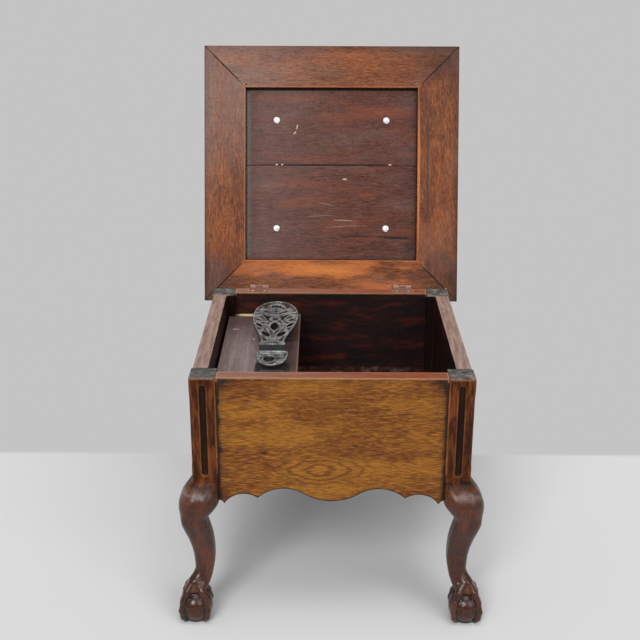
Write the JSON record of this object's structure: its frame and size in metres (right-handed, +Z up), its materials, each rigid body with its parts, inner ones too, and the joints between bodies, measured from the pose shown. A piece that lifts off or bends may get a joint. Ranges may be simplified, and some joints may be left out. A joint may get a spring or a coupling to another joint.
{
  "type": "shoe shine footstool",
  "caption": "Square wooden footstool on cabriole legs with ball-and-claw feet, a hinged padded lid and a cast-iron shoe rest inside its box.",
  "frame": {"origin": "on the floor, under the middle of the overall box with the lid open", "axes": "+Z up, -Y towards the user at the front, +X to the right seen from the front; the lid hinges along X at the back"},
  "size_m": [0.461, 0.6003, 0.7925],
  "materials": {
    "post_wood": "old glossy varnish, near black in the flutes",
    "panel_wood": "worn satin varnish over open grain",
    "lid_wood": "worn satin varnish with dark stains",
    "board_wood": "dusty dark stain",
    "inner_wood": "dull dark stain",
    "shelf_wood": "dull and worn",
    "pad_board_wood": "raw plywood",
    "iron": "rough casting, worn bright on its raised edges",
    "brass": "tarnished",
    "steel": "bright, a little worn",
    "cover": "soft grained cover"
  },
  "bodies": {
    "stool": {"front_left_leg": "post_wood", "front_right_leg": "post_wood", "back_left_leg": "post_wood", "back_right_leg": "post_wood", "front_panel": "panel_wood", "left_panel": "panel_wood", "right_panel": "panel_wood", "back_panel": "panel_wood", "bottom_board_left": "inner_wood", "bottom_board_right": "inner_wood", "bottom_cleat_front": "inner_wood", "bottom_cleat_back": "inner_wood", "shelf_cleat_front": "inner_wood", "shelf_cleat_back": "inner_wood", "rest_shelf": "shelf_wood", "shoe_rest": "iron", "left_hinge_box_leaf": "brass", "right_hinge_box_leaf": "brass", "left_hinge_pin": "brass", "right_hinge_pin": "brass"},
    "lid": {"lid_frame_front": "lid_wood", "lid_frame_right": "lid_wood", "lid_frame_left": "lid_wood", "lid_frame_back": "lid_wood", "lid_board_back": "board_wood", "lid_board_front": "board_wood", "lid_screws": "steel", "pad_base": "pad_board_wood", "pad_cushion": "cover", "left_hinge_lid_leaf": "brass", "right_hinge_lid_leaf": "brass"}
  },
  "joints": [
    {"name": "lid_hinge", "type": "hinge", "parent": "stool", "child": "lid", "pos_m": [0, 0.125, 0.3963], "axis": [1, 0, 0], "range_deg": [0, 107.85]}
  ]
}
